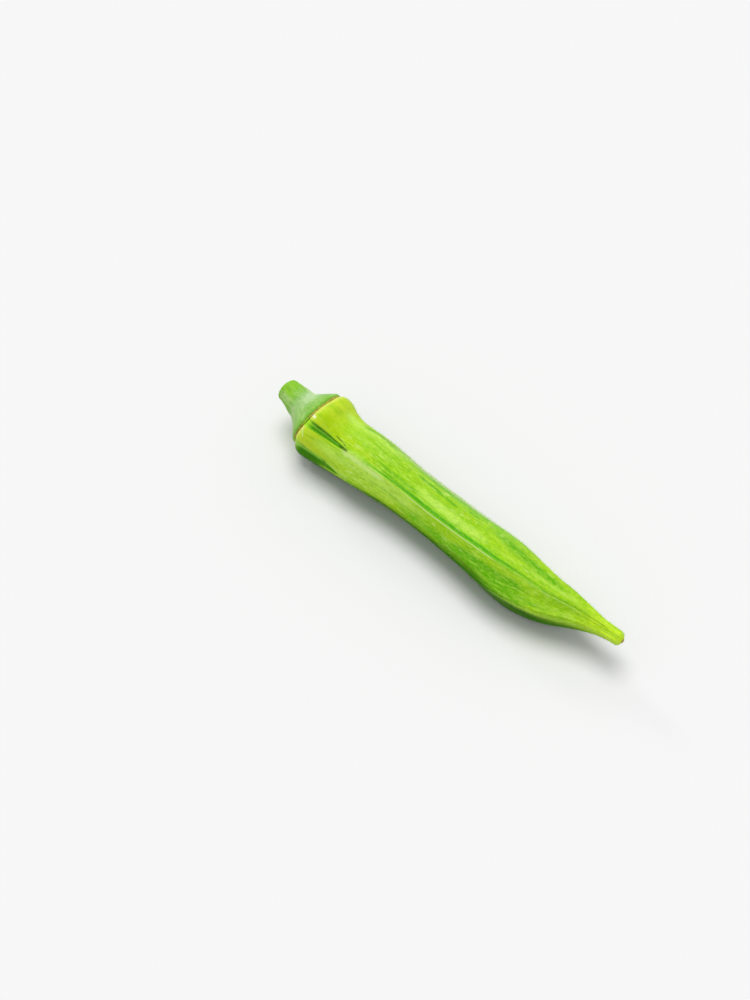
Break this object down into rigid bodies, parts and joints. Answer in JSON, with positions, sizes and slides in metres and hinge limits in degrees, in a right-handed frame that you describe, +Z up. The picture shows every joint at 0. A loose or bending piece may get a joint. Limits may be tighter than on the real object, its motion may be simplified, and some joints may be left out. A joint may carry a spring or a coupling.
{
  "type": "okra pod",
  "caption": "Fresh picked okra pod lying on a surface: long ridged tapering capsule, bowed a little, with a flared cap and a short cut stalk.",
  "frame": {"origin": "on the surface that the pod lies on, under the middle of the pod's box", "axes": "+X from the cut stalk to the tip, +Z up"},
  "size_m": [0.1204, 0.0198, 0.0196],
  "materials": {
    "pod_skin": "satin",
    "cap_skin": "satin",
    "scar_cork": "matte",
    "cut_stem": "matte",
    "fuzz": "matte"
  },
  "bodies": {
    "root": {"pod": "pod_skin", "stem_cap": "cap_skin"}
  },
  "joints": []
}
